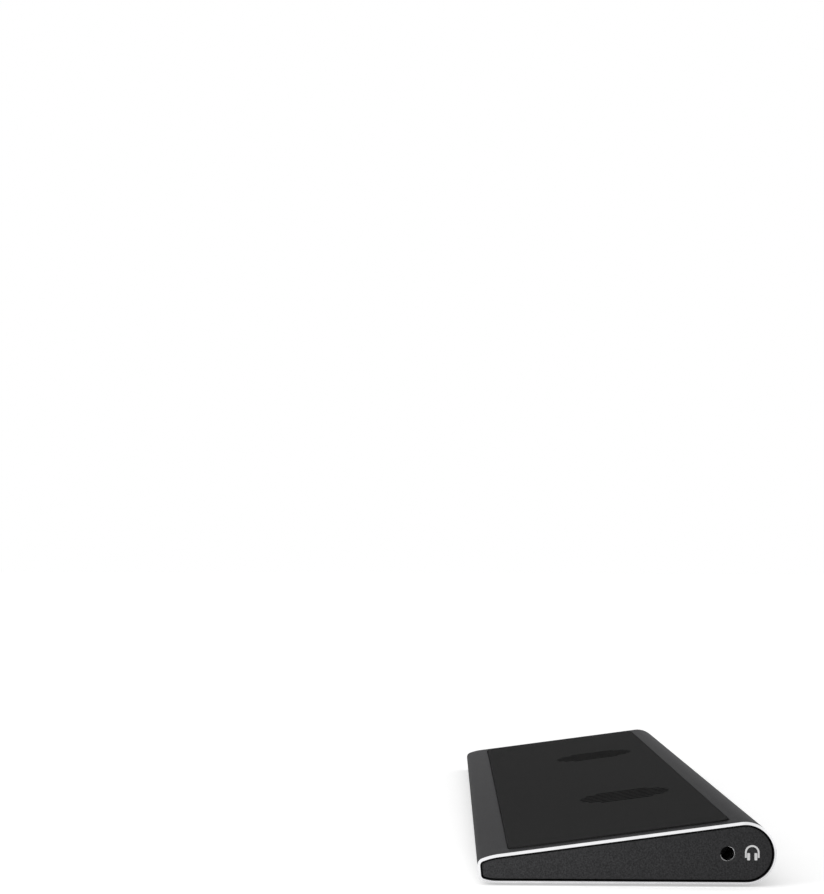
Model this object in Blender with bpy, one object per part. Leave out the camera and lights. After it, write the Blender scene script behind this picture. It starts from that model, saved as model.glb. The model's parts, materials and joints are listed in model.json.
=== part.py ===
"""Laptop cooling riser: a wedge-shaped extruded sleeve that holds two slim blowers and an audio and USB hub.

The bar lies along X. +X is the end with the headset socket, -X the end with the hub's sockets, +Y the
round rear edge. The origin is below the middle of the bar, on the surface that its feet stand on.
"""
import math

import bmesh
import bpy
from mathutils import Matrix, Vector

MM = 0.001

# Overall sizes
WIDTH = 330 * MM
DEPTH = 79 * MM
WEDGE_ANGLE = math.radians(7.75)
REAR_RADIUS = 8.2 * MM
FOOT_DROP = 0.6 * MM
GAP = 0.3 * MM
PAST = 1 * MM  # how far a cutting shape runs past the face that it cuts

# Nose of the wedge
NOSE_LENGTH = 3.6 * MM
NOSE_TOP_ANGLE = math.radians(20.8)
NOSE_BOTTOM_ANGLE = math.radians(15.5)
NOSE_LEAN = math.radians(5.4)
NOSE_TOP_BLEND = 20 * MM
NOSE_BOTTOM_BLEND = 12 * MM
NOSE_CORNER_RADIUS = 1.9 * MM

# Sleeve
WALL = 1.6 * MM
CHAMFER = 0.7 * MM
END_LAND = 0.8 * MM
SEAT_DEPTH = 4.7 * MM
PORT_RADIUS = 2.1 * MM
PORT_FRONT = (-33.3 * MM, 3.5 * MM)
PORT_REAR = (33.2 * MM, 3.9 * MM)
PORT_HOLE_RADIUS = 1.1 * MM
PORT_HOLE_DEPTH = 13 * MM
VENT_COUNT = 9
VENT_PITCH = 5 * MM
VENT_WIDTH = 3 * MM
VENT_LOW = 6.8 * MM
VENT_HIGH = 12.8 * MM
VENT_REACH = 6 * MM

# Top pad
PAD_LENGTH = 316 * MM
PAD_FRONT = -31 * MM
PAD_REAR = 28 * MM
PAD_CORNER = 3 * MM
PAD_RECESS = 0.7 * MM
PAD_PROUD = 0.4 * MM
INTAKE_RADIUS = 15 * MM
SLIT_FIELD_RADIUS = 14 * MM
SLIT_WIDTH = 2.2 * MM
SLIT_PITCH = 3.8 * MM
SLITS_EACH_SIDE = 3

# Feet
FOOT_LENGTH = 250 * MM
FOOT_WIDTH = 8 * MM
FOOT_RECESS = 0.5 * MM
FOOT_FRONT_Y = -26 * MM
FOOT_REAR_Y = 22 * MM

# Ends: depths are measured inward from the sleeve's end plane
PLATE_FRONT = 0.5 * MM
PLATE_BACK = 1.7 * MM
FRAME_FRONT = 2.0 * MM
FRAME_BACK = 4.4 * MM
HEAD_BACK = 3.0 * MM
SCREW_END = 12 * MM
SCREW_HEAD_RADIUS = 1.6 * MM
SCREW_SHANK_RADIUS = 0.8 * MM
BOARD_START = 5.2 * MM
BOARD_THICKNESS = 0.8 * MM
BOARD_HEAD_HEIGHT = 0.8 * MM
BOARD_SCREW_REACH = 2.6 * MM
CHIP_SIZE = 9 * MM
CHIP_HEIGHT = 1 * MM
CHIP_Y = 6 * MM
CHIP_SHARE = 0.62  # place of a chip along its board

# Audio end
JACK_Y = 26.6 * MM
JACK_HEIGHT = 8.0 * MM
JACK_BORE_RADIUS = 1.8 * MM
JACK_FERRULE_RADIUS = 2.5 * MM
JACK_BODY = (11 * MM, 6 * MM, 4.6 * MM)
JACK_BACK_WALL = 1 * MM
AUDIO_BOARD_HEIGHT = 4.6 * MM
AUDIO_BOARD_LENGTH = 35 * MM
AUDIO_BOARD_Y = (-27 * MM, 31 * MM)
AUDIO_LUGS_Y = (-4 * MM, 16 * MM)

# Hub end
MAIN_BOARD_HEIGHT = 3.0 * MM
MAIN_BOARD_LENGTH = 47 * MM
MAIN_BOARD_Y = (-28 * MM, 31 * MM)
MAIN_LUGS_Y = (-4.3 * MM, 29.2 * MM)
SOCKET_FRONT = 0.8 * MM
USB_A_SIZE = (13.1 * MM, 5.7 * MM)
USB_A_CORNER = 0.6 * MM
USB_A_DEPTH = 14 * MM
USB_A_TONGUE_HEIGHTS = (2.0 * MM, 0.3 * MM)  # down from the top of its block
USB_A_TONGUE_DEPTHS = (1.8 * MM, 10 * MM, 13.5 * MM)
USB_A_Y = {"front": 4.5 * MM, "rear": 20.5 * MM}
USB_C_SIZE = (8.94 * MM, 3.2 * MM)
USB_C_DEPTH = 9.3 * MM
USB_C_TONGUE_HALF = 0.35 * MM
USB_C_TONGUE_DEPTHS = (1.6 * MM, 7.3 * MM, 8.9 * MM)
USB_C_Y = -11 * MM
SHELL_WALL = 0.35 * MM
BUTTON_Y = -24 * MM
BUTTON_HEIGHT = 5.3 * MM
BUTTON_SIZE = (7.0 * MM, 2.6 * MM)
BUTTON_FLANGE = (8.8 * MM, 4.2 * MM)
BUTTON_FLANGE_BACK = 2.6 * MM
BUTTON_STEM = (3 * MM, 1.6 * MM)
BUTTON_TRAVEL = 0.6 * MM
BUTTON_FRONT = 0.1 * MM
LIGHT_Y = -18 * MM
LIGHT_RADIUS = 0.8 * MM
LIGHT_SIZE = 1.6 * MM
LIGHT_LENGTH = 1 * MM
SWITCH_SIZE = (6 * MM, 2.4 * MM)
SWITCH_LENGTH = 3.6 * MM
LUG_WIDTH = 3.4 * MM
LUG_RISE = 3.4 * MM
LUG_ROOT = 4 * MM
LUG_DEPTH = 12 * MM
LUG_PILOT_RISE = 2.8 * MM
LUG_SCREW_DEPTH = 9 * MM

# Blowers: heights are measured down from the sloping top plane
FAN_X = {"left": -70 * MM, "right": 70 * MM}
FAN_Y = 7 * MM
FAN_SIZE = 40 * MM
FAN_CORNER = 3 * MM
GASKET_TOP = -1.9 * MM
GASKET_BOTTOM = -2.7 * MM
COVER_TOP = -3.0 * MM
COVER_BOTTOM = -3.6 * MM
HOUSING_TOP = -3.9 * MM
HOUSING_FLOOR = -7.4 * MM
HOUSING_BOTTOM = -8.1 * MM
BOSS_ROOT = -7.7 * MM
BOSS_TOP = -5.2 * MM
SCROLL_RADIUS = 17.5 * MM
OUTLET_LEFT = -10 * MM
COVER_HOLE_RADIUS = 13 * MM
GASKET_RADII = (15.6 * MM, 19 * MM)
BOSS_RADII = (1.8 * MM, 2.6 * MM)
BUSH_RADII = (1.05 * MM, 1.5 * MM)
STATOR_RADII = (2.9 * MM, 5.5 * MM)
HUB_RADII = (5.9 * MM, 6.7 * MM)
HUB_CAP = (-4.9 * MM, -4.3 * MM)
HUB_BOTTOM = -6.9 * MM
BLADE_HEIGHTS = (-6.7 * MM, -4.5 * MM)
BLADE_TIP_RADIUS = 15.6 * MM
BLADE_COUNT = 15
BLADE_SWEEP = math.radians(28)
BLADE_THICKNESS = 0.7 * MM
SHAFT_RADIUS = 0.75 * MM
FAN_SCREW_RADII = (1.4 * MM, 0.6 * MM)
FAN_SCREW_HEAD_TOP = -2.0 * MM
FAN_SCREW_TIP = -6.7 * MM
FAN_PILOT_RADIUS = 0.9 * MM
FAN_PILOT_BOTTOM = -7.0 * MM
FAN_SCREW_PLACES = {"front": (17.5 * MM, -17.5 * MM), "rear": (-17.5 * MM, 17.5 * MM)}

# Wiring
RIBBON_Y = (-26 * MM, -16 * MM)
RIBBON_THICKNESS = 0.5 * MM
RIBBON_LEFT_END = -124 * MM
RIBBON_RIGHT_END = 136 * MM
RIBBON_RISE = (108 * MM, 120 * MM)
CONNECTOR_LENGTH = 4 * MM
CONNECTOR_HEIGHT = 1 * MM
LEAD_RADIUS = 0.6 * MM
LEAD_FAN_Y = 2 * MM
LEAD_FAN_DROP = 6 * MM
LEAD_STRAIGHT = 5 * MM
PLUG_SIZE = (5 * MM, 5 * MM, 2.6 * MM)
PLUG_X = {"left": -118 * MM, "right": 130 * MM}
PLUG_Y = -8 * MM

ROUND_STEP = math.radians(10)
SMALL_ROUND_STEP = math.radians(30)
SAME_POINT = 0.001 * MM
LEAST_RADIUS = 0.2 * MM
ALONG_X = Matrix(((0, 0, 1, 0), (1, 0, 0, 0), (0, 1, 0, 0), (0, 0, 0, 1)))
ALONG_Y = Matrix(((1, 0, 0, 0), (0, 0, 1, 0), (0, 1, 0, 0), (0, 0, 0, 1)))
ALONG_Z = Matrix.Identity(4)


def material(name, color, roughness, metallic=0.0):
    """Make a Principled material."""
    made = bpy.data.materials.new(name)
    made.use_nodes = True
    shader = made.node_tree.nodes["Principled BSDF"]
    shader.inputs["Base Color"].default_value = (*color, 1.0)
    shader.inputs["Roughness"].default_value = roughness
    shader.inputs["Metallic"].default_value = metallic
    return made


def turned_corner(before, corner, after, radius, step):
    """Replace a corner with an arc of the given radius, one point for each step of its turn."""
    come = (corner - before).normalized()
    leave = (after - corner).normalized()
    turn = come.angle_signed(leave) * -1
    steps = max(2, math.ceil(abs(turn) / step - 0.01))
    reach = radius * math.tan(abs(turn) / 2)
    side = math.copysign(1, turn)
    start = corner - come * reach
    center = start + Vector((-come.y, come.x)) * radius * side
    spoke = start - center
    return [center + Matrix.Rotation(turn * i / steps, 2) @ spoke for i in range(steps + 1)]


def rounded(corners, step):
    """Make a counter-clockwise outline from corners given as (x, y, radius)."""
    points = [Vector(corner[:2]) for corner in corners]
    outline = []
    for i, corner in enumerate(corners):
        before = points[i - 1]
        after = points[(i + 1) % len(points)]
        outline += turned_corner(before, points[i], after, corner[2], step)
    return [p for i, p in enumerate(outline) if (p - outline[i - 1]).length > SAME_POINT]


def inset(corners, distance):
    """Move every side of a convex counter-clockwise corner list inward, and reduce its radii."""
    moved = []
    for i, (x, y, radius) in enumerate(corners):
        here = Vector((x, y))
        come = (here - Vector(corners[i - 1][:2])).normalized()
        leave = (Vector(corners[(i + 1) % len(corners)][:2]) - here).normalized()
        bisector = (leave - come).normalized()
        half_turn = come.angle(leave) / 2
        point = here + bisector * (distance / math.cos(half_turn))
        moved.append((point.x, point.y, max(radius - distance, LEAST_RADIUS)))
    return moved


def rectangle(center_x, center_y, width, height, radius=0.0):
    """Make the outline of a rectangle, with round corners if a radius is given."""
    low_x, high_x = center_x - width / 2, center_x + width / 2
    low_y, high_y = center_y - height / 2, center_y + height / 2
    corners = ((low_x, low_y), (high_x, low_y), (high_x, high_y), (low_x, high_y))
    if radius == 0:
        return [Vector(corner) for corner in corners]
    return rounded([(x, y, radius) for x, y in corners], SMALL_ROUND_STEP)


def pill(center_x, center_y, width, height):
    """Make the outline of a bar with round ends along its width."""
    return rectangle(center_x, center_y, width, height, min(width, height) / 2)


def circle(center_x, center_y, radius, sides=20):
    """Make a round outline."""
    turns = [2 * math.pi * i / sides for i in range(sides)]
    return [Vector((center_x + radius * math.cos(t), center_y + radius * math.sin(t))) for t in turns]


def bridge(bm, first, second):
    """Join two rings of equal length with quads."""
    count = len(first)
    for i in range(count):
        j = (i + 1) % count
        bm.faces.new((first[i], first[j], second[j], second[i]))


def add_rings(bm, rings, frame=ALONG_Z, closed=False):
    """Add a lofted body through (outline, height) rings, capped at both ends or closed into a tube."""
    loops = []
    for outline, height in rings:
        loops.append([bm.verts.new(frame @ Vector((p[0], p[1], height))) for p in outline])
    for first, second in zip(loops, loops[1:]):
        bridge(bm, first, second)
    if closed:
        bridge(bm, loops[-1], loops[0])
    else:
        bm.faces.new(loops[0])
        bm.faces.new(loops[-1])


def add_prism(bm, outline, low, high, frame=ALONG_Z):
    """Add a straight prism of an outline."""
    add_rings(bm, [(outline, low), (outline, high)], frame)


def add_tube(bm, outer, inner, low, high, frame=ALONG_Z):
    """Add a straight tube between two outlines of equal length."""
    add_rings(bm, [(outer, low), (outer, high), (inner, high), (inner, low)], frame, closed=True)


def add_box(bm, x_range, y_range, z_range):
    """Add a box between two corners."""
    center_x, center_y = sum(x_range) / 2, sum(y_range) / 2
    width, height = abs(x_range[1] - x_range[0]), abs(y_range[1] - y_range[0])
    add_prism(bm, rectangle(center_x, center_y, width, height), *z_range)


def make(name, build, surface, parent=None):
    """Make a named object from a function that fills a mesh."""
    bm = bmesh.new()
    build(bm)
    bmesh.ops.recalc_face_normals(bm, faces=bm.faces)
    mesh = bpy.data.meshes.new(name)
    bm.to_mesh(mesh)
    bm.free()
    mesh.shade_smooth()
    mesh.set_sharp_from_angle(angle=math.radians(25))
    made = bpy.data.objects.new(name, mesh)
    bpy.context.scene.collection.objects.link(made)
    made.parent = parent
    if surface:
        mesh.materials.append(surface)
    return made


def combine(target, name, build, operation):
    """Cut a hidden tool's shape out of an object, or join it on."""
    tool = make(name, build, None, target.parent)
    tool.hide_render = True
    tool.display_type = "WIRE"
    modifier = target.modifiers.new(name, "BOOLEAN")
    modifier.operation = operation
    modifier.solver = "EXACT"
    modifier.object = tool


def cut(target, name, build):
    """Cut a shape out of an object."""
    combine(target, name, build, "DIFFERENCE")


def join(target, name, build):
    """Join a shape onto an object."""
    combine(target, name, build, "UNION")


def top_height(y):
    """Height of the sloping top plane at a place along the depth."""
    from_axis = REAR_AXIS_Y - y
    return FOOT_DROP + REAR_RADIUS * (1 + 1 / math.cos(WEDGE_ANGLE)) - from_axis * math.tan(WEDGE_ANGLE)


def above_base(height):
    """World height of a place measured up from the sleeve's underside."""
    return FOOT_DROP + height


def end_x(side, depth):
    """World X of a depth inward from an end plane: side 1 is the audio end, -1 the hub end."""
    return side * (WIDTH / 2 - depth)


def add_along_end(bm, side, outline, depth_range):
    """Add a prism that runs inward from an end, between two depths, with its outline in Y and Z."""
    add_prism(bm, outline, end_x(side, depth_range[0]), end_x(side, depth_range[1]), ALONG_X)


def wedge_corners():
    """Corners of the sleeve's outer outline in Y and Z, from the lower rear corner round to the nose."""
    rear_y = DEPTH / 2
    nose_y = -DEPTH / 2
    bend_y = nose_y + NOSE_LENGTH
    bend_height = top_height(bend_y)
    front_height = bend_height - NOSE_LENGTH * math.tan(NOSE_TOP_ANGLE)
    lean = math.tan(NOSE_LEAN)
    rise = math.tan(NOSE_BOTTOM_ANGLE)
    lower_run = NOSE_LENGTH - lean * (front_height - FOOT_DROP)
    lower_run /= 1 - lean * rise
    return [
        (rear_y, FOOT_DROP, REAR_RADIUS),
        (rear_y, top_height(rear_y), REAR_RADIUS),
        (bend_y, bend_height, NOSE_TOP_BLEND),
        (nose_y, front_height, NOSE_CORNER_RADIUS),
        (bend_y - lower_run, FOOT_DROP + lower_run * rise, NOSE_CORNER_RADIUS),
        (bend_y, FOOT_DROP, NOSE_BOTTOM_BLEND),
    ]


def wedge_outline(distance):
    """The sleeve's outline, moved inward by a distance."""
    return rounded(inset(wedge_corners(), distance), ROUND_STEP)


def fan_frame(side):
    """An empty on a blower's axis, in the sloping top plane."""
    empty = bpy.data.objects.new(f"fan_{side}_axis", None)
    bpy.context.scene.collection.objects.link(empty)
    empty.location = (FAN_X[side], FAN_Y, top_height(FAN_Y))
    empty.rotation_euler = (WEDGE_ANGLE, 0, 0)
    return empty


def top_frame(x, y):
    """A frame in the sloping top plane."""
    place = Matrix.Translation((x, y, top_height(y)))
    return place @ Matrix.Rotation(WEDGE_ANGLE, 4, "X")


def pad_outline(margin):
    """Outline of the top pad in the top plane, larger by a margin."""
    slope_length = (PAD_REAR - PAD_FRONT) / math.cos(WEDGE_ANGLE)
    return rectangle(0, 0, PAD_LENGTH + 2 * margin, slope_length + 2 * margin, PAD_CORNER + margin)


def pad_frame():
    """The frame at the middle of the top pad."""
    return top_frame(0, (PAD_FRONT + PAD_REAR) / 2)


def build_sleeve():
    """The extruded sleeve, with chamfered ends, end seats, screw ports, vents, intakes and recesses."""
    outer = wedge_outline(0)
    edge = wedge_outline(CHAMFER)
    seat = wedge_outline(END_LAND)
    bore = wedge_outline(WALL)

    def body(bm):
        right_half = [
            (outer, end_x(1, CHAMFER)),
            (edge, end_x(1, 0)),
            (seat, end_x(1, 0)),
            (seat, end_x(1, SEAT_DEPTH)),
            (bore, end_x(1, SEAT_DEPTH)),
        ]
        left_half = [(outline, -x) for outline, x in reversed(right_half)]
        add_rings(bm, right_half + left_half, ALONG_X, closed=True)

    def ports(bm):
        for y, height in (PORT_FRONT, PORT_REAR):
            outline = circle(y, above_base(height), PORT_RADIUS, 16)
            add_prism(bm, outline, end_x(-1, SEAT_DEPTH), end_x(1, SEAT_DEPTH), ALONG_X)

    def recesses(bm):
        add_prism(bm, pad_outline(GAP), -PAD_RECESS, PAST, pad_frame())
        for y in (FOOT_FRONT_Y, FOOT_REAR_Y):
            outline = pill(0, y, FOOT_LENGTH + 2 * GAP, FOOT_WIDTH + 2 * GAP)
            add_prism(bm, outline, -PAST, FOOT_DROP + FOOT_RECESS)

    def openings(bm):
        for x in FAN_X.values():
            add_prism(bm, circle(0, 0, INTAKE_RADIUS, 32), -WALL - PAST, PAST, top_frame(x, FAN_Y))
            for i in range(VENT_COUNT):
                middle = x + (i - (VENT_COUNT - 1) / 2) * VENT_PITCH
                x_range = (middle - VENT_WIDTH / 2, middle + VENT_WIDTH / 2)
                add_box(bm, x_range, (DEPTH / 2 - VENT_REACH, DEPTH / 2 + PAST),
                        (above_base(VENT_LOW), above_base(VENT_HIGH)))
        for side in (1, -1):
            for y, height in (PORT_FRONT, PORT_REAR):
                outline = circle(y, above_base(height), PORT_HOLE_RADIUS, 12)
                add_along_end(bm, side, outline, (SEAT_DEPTH - PAST, PORT_HOLE_DEPTH))

    sleeve = make("sleeve", body, material("black_anodised_aluminium", (0.012, 0.012, 0.013), 0.38, 0.6))
    join(sleeve, "sleeve_ports", ports)
    cut(sleeve, "sleeve_recesses", recesses)
    cut(sleeve, "sleeve_openings", openings)


def build_top_pad():
    """The silicone pad that the laptop lies on, with a round field of slits over each blower."""
    heights = (-PAD_RECESS + GAP, PAD_PROUD)
    pad = make("top_pad", lambda bm: add_prism(bm, pad_outline(0), *heights, pad_frame()),
               material("black_silicone", (0.008, 0.008, 0.008), 0.75))

    def slits(bm):
        for x in FAN_X.values():
            for i in range(-SLITS_EACH_SIDE, SLITS_EACH_SIDE + 1):
                across = i * SLIT_PITCH
                length = 2 * math.sqrt(SLIT_FIELD_RADIUS ** 2 - across ** 2)
                outline = pill(across, 0, SLIT_WIDTH, length)
                add_prism(bm, outline, -PAD_RECESS - PAST, PAD_PROUD + PAST, top_frame(x, FAN_Y))

    cut(pad, "top_pad_slits", slits)


def build_feet():
    """Two rubber strips in the recesses of the underside."""
    rubber = material("black_rubber", (0.015, 0.015, 0.015), 0.85)
    for name, y in (("front_foot", FOOT_FRONT_Y), ("rear_foot", FOOT_REAR_Y)):
        outline = pill(0, y, FOOT_LENGTH, FOOT_WIDTH)
        make(name, lambda bm: add_prism(bm, outline, 0, FOOT_DROP + FOOT_RECESS - GAP), rubber)


def socket_outlines(margin):
    """Outlines in Y and Z of the hub end's sockets, larger by a margin."""
    board_top = above_base(MAIN_BOARD_HEIGHT + BOARD_THICKNESS + GAP)
    outlines = {}
    for place, y in USB_A_Y.items():
        middle = board_top + USB_A_SIZE[1] / 2
        size = [length + 2 * margin for length in USB_A_SIZE]
        outlines[f"usb_a_{place}"] = rectangle(y, middle, *size, USB_A_CORNER + margin)
    middle = board_top + USB_C_SIZE[1] / 2
    outlines["usb_c"] = pill(USB_C_Y, middle, *[length + 2 * margin for length in USB_C_SIZE])
    return outlines


def add_hub_holes(bm, depth_range, button_size):
    """Add cutters for the hub end's sockets, button and light."""
    for outline in socket_outlines(GAP).values():
        add_along_end(bm, -1, outline, depth_range)
    button_hole = pill(BUTTON_Y, above_base(BUTTON_HEIGHT), *[size + 2 * GAP for size in button_size])
    add_along_end(bm, -1, button_hole, depth_range)
    light_hole = circle(LIGHT_Y, above_base(BUTTON_HEIGHT), LIGHT_RADIUS + GAP, 12)
    add_along_end(bm, -1, light_hole, depth_range)


def build_end_plates():
    """The trim plates that close the sleeve's ends."""
    surface = material("dark_grey_end_plate", (0.040, 0.040, 0.041), 0.5, 0.1)
    outline = wedge_outline(END_LAND + GAP)
    through = (PLATE_FRONT - PAST, PLATE_BACK + PAST)
    plates = {}
    for name, side in (("right_end_plate", 1), ("left_end_plate", -1)):
        plates[side] = make(name,
                            lambda bm: add_along_end(bm, side, outline, (PLATE_FRONT, PLATE_BACK)), surface)

    hole = circle(JACK_Y, above_base(JACK_HEIGHT), JACK_BORE_RADIUS, 24)
    cut(plates[1], "right_plate_hole", lambda bm: add_along_end(bm, 1, hole, through))
    cut(plates[-1], "left_plate_holes", lambda bm: add_hub_holes(bm, through, BUTTON_SIZE))


def add_lug(bm, side, y, low):
    """Add a screw lug that stands inward from an end frame, above a board."""
    depths = (end_x(side, LUG_ROOT), end_x(side, LUG_DEPTH))
    add_box(bm, depths, (y - LUG_WIDTH / 2, y + LUG_WIDTH / 2), (low, low + LUG_RISE))


def build_end_frames():
    """The moulded frames behind the trim plates, screwed to the sleeve; each carries a board on two lugs."""
    surface = material("black_moulded_plastic", (0.02, 0.02, 0.02), 0.6)
    outline = wedge_outline(END_LAND + GAP)
    ends = (
        ("right_end_frame", 1, AUDIO_BOARD_HEIGHT, AUDIO_LUGS_Y),
        ("left_end_frame", -1, MAIN_BOARD_HEIGHT, MAIN_LUGS_Y),
    )
    through = (FRAME_FRONT - PAST, FRAME_BACK + PAST)
    for name, side, board_height, lugs_y in ends:
        lug_low = above_base(board_height + BOARD_THICKNESS + GAP)
        frame = make(name, lambda bm: add_along_end(bm, side, outline, (FRAME_FRONT, FRAME_BACK)), surface)

        def lugs(bm):
            for y in lugs_y:
                add_lug(bm, side, y, lug_low)

        def counterbores(bm):
            for y, height in (PORT_FRONT, PORT_REAR):
                bore = circle(y, above_base(height), SCREW_HEAD_RADIUS + GAP, 16)
                add_along_end(bm, side, bore, (FRAME_FRONT - PAST, HEAD_BACK + GAP))

        def holes(bm):
            for y, height in (PORT_FRONT, PORT_REAR):
                shank_hole = circle(y, above_base(height), PORT_HOLE_RADIUS, 12)
                add_along_end(bm, side, shank_hole, through)
            for y in lugs_y:
                pilot = circle(end_x(side, LUG_SCREW_DEPTH), y, SCREW_SHANK_RADIUS + GAP, 12)
                add_prism(bm, pilot, lug_low - PAST, lug_low + LUG_PILOT_RISE)
            if side == 1:
                jack_hole = circle(JACK_Y, above_base(JACK_HEIGHT), JACK_FERRULE_RADIUS + GAP)
                add_along_end(bm, side, jack_hole, through)
            else:
                add_hub_holes(bm, through, BUTTON_FLANGE)

        join(frame, f"{name}_lugs", lugs)
        cut(frame, f"{name}_counterbores", counterbores)
        cut(frame, f"{name}_holes", holes)


def add_screw(bm, head_radius, shank_radius, head_range, tip, frame):
    """Add a screw with a flat round head; heights run along the frame's Z."""
    rings = [(circle(0, 0, head_radius, 12), head_range[0]), (circle(0, 0, head_radius, 12), head_range[1])]
    rings += [(circle(0, 0, shank_radius, 12), head_range[1]), (circle(0, 0, shank_radius, 12), tip)]
    add_rings(bm, rings, frame)


def build_end_screws():
    """Screws that hold the end frames to the sleeve's ports."""
    steel = material("screw_steel", (0.35, 0.35, 0.36), 0.35, 1.0)
    for end, side in (("right", 1), ("left", -1)):
        for place, (y, height) in (("front", PORT_FRONT), ("rear", PORT_REAR)):
            frame = Matrix.Translation((0, y, above_base(height))) @ ALONG_X
            heads = (end_x(side, FRAME_FRONT), end_x(side, HEAD_BACK))
            make(f"{end}_end_screw_{place}",
                 lambda bm: add_screw(bm, SCREW_HEAD_RADIUS, SCREW_SHANK_RADIUS, heads,
                                      end_x(side, SCREW_END), frame), steel)


def build_boards():
    """The hub's main board and the audio board, each with two screws from below and its chip."""
    green = material("board_green", (0.015, 0.07, 0.03), 0.5)
    steel = material("board_screw_steel", (0.35, 0.35, 0.36), 0.35, 1.0)
    chip_black = material("chip_black", (0.015, 0.015, 0.016), 0.45)
    boards = (
        ("audio_board", "audio_codec_chip", 1,
         AUDIO_BOARD_HEIGHT, AUDIO_BOARD_LENGTH, AUDIO_BOARD_Y, AUDIO_LUGS_Y),
        ("main_board", "hub_chip", -1,
         MAIN_BOARD_HEIGHT, MAIN_BOARD_LENGTH, MAIN_BOARD_Y, MAIN_LUGS_Y),
    )
    for name, chip_name, side, height, length, y_range, lugs_y in boards:
        low = above_base(height)
        high = low + BOARD_THICKNESS
        x_range = sorted((end_x(side, BOARD_START), end_x(side, BOARD_START + length)))
        screw_x = end_x(side, LUG_SCREW_DEPTH)
        board = make(name, lambda bm: add_box(bm, x_range, y_range, (low, high)), green)

        def holes(bm):
            for y in lugs_y:
                add_prism(bm, circle(screw_x, y, SCREW_SHANK_RADIUS + GAP, 12), low - PAST, high + PAST)

        cut(board, f"{name}_holes", holes)
        for place, y in zip(("front", "rear"), lugs_y):
            frame = Matrix.Translation((screw_x, y, 0))
            heads = (low - GAP - BOARD_HEAD_HEIGHT, low - GAP)
            tip = high + BOARD_SCREW_REACH
            make(f"{name}_screw_{place}",
                 lambda bm: add_screw(bm, SCREW_HEAD_RADIUS, SCREW_SHANK_RADIUS, heads, tip, frame), steel)
        chip = rectangle(end_x(side, BOARD_START + length * CHIP_SHARE), CHIP_Y, CHIP_SIZE, CHIP_SIZE)
        make(chip_name, lambda bm: add_prism(bm, chip, high + GAP, high + GAP + CHIP_HEIGHT), chip_black)


def build_audio_jack():
    """The 3.5 mm headset socket: a plastic body behind the frame and a metal ferrule in the frame."""
    metal = material("socket_metal", (0.55, 0.55, 0.56), 0.3, 1.0)
    plastic = material("socket_black", (0.012, 0.012, 0.012), 0.5)
    height = above_base(JACK_HEIGHT)
    length, width, rise = JACK_BODY
    body_range = (BOARD_START, BOARD_START + length)
    body = make("audio_jack_body",
                lambda bm: add_along_end(bm, 1, rectangle(JACK_Y, height, width, rise), body_range), plastic)
    bore = circle(JACK_Y, height, JACK_BORE_RADIUS)
    cut(body, "audio_jack_bore",
        lambda bm: add_along_end(bm, 1, bore, (BOARD_START - PAST, BOARD_START + length - JACK_BACK_WALL)))
    outer = circle(JACK_Y, height, JACK_FERRULE_RADIUS)
    ferrule_range = (end_x(1, FRAME_FRONT), end_x(1, BOARD_START - GAP))
    make("audio_jack_ferrule", lambda bm: add_tube(bm, outer, bore, *ferrule_range, ALONG_X), metal)


def add_tongue(bm, y_range, base_range, tongue_range, depths):
    """Add a socket's insulator: a block at its back with a thin tongue that stands out of it."""
    front, step, back = [end_x(-1, depth) for depth in depths]
    low, high = base_range
    tongue_low, tongue_high = tongue_range
    profile = [(back, low), (step, low), (step, tongue_low), (front, tongue_low),
               (front, tongue_high), (step, tongue_high), (step, high), (back, high)]
    add_prism(bm, profile, *y_range, ALONG_Y)


def build_hub_sockets():
    """The USB-C inlet and the two USB-A sockets, each a metal shell round an insulator."""
    metal = material("shell_metal", (0.6, 0.6, 0.61), 0.28, 1.0)
    plastic = material("insulator_black", (0.014, 0.014, 0.015), 0.5)
    outer = socket_outlines(0)
    inner = socket_outlines(-SHELL_WALL)
    free = SHELL_WALL + GAP
    low = above_base(MAIN_BOARD_HEIGHT + BOARD_THICKNESS + GAP)
    for name, outline in outer.items():
        depth = USB_C_DEPTH if name == "usb_c" else USB_A_DEPTH
        x_range = (end_x(-1, SOCKET_FRONT), end_x(-1, depth))
        make(f"{name}_shell", lambda bm: add_tube(bm, outline, inner[name], *x_range, ALONG_X), metal)
    for place, y in USB_A_Y.items():
        half = USB_A_SIZE[0] / 2 - free
        heights = (low + free, low + USB_A_SIZE[1] - free)
        tongue = [heights[1] - down for down in USB_A_TONGUE_HEIGHTS]
        make(f"usb_a_{place}_tongue",
             lambda bm: add_tongue(bm, (y - half, y + half), heights, tongue, USB_A_TONGUE_DEPTHS), plastic)
    half = USB_C_SIZE[0] / 2 - USB_C_SIZE[1] / 2
    heights = (low + free, low + USB_C_SIZE[1] - free)
    middle = sum(heights) / 2
    tongue = (middle - USB_C_TONGUE_HALF, middle + USB_C_TONGUE_HALF)
    y_range = (USB_C_Y - half, USB_C_Y + half)
    make("usb_c_tongue", lambda bm: add_tongue(bm, y_range, heights, tongue, USB_C_TONGUE_DEPTHS), plastic)


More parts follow.
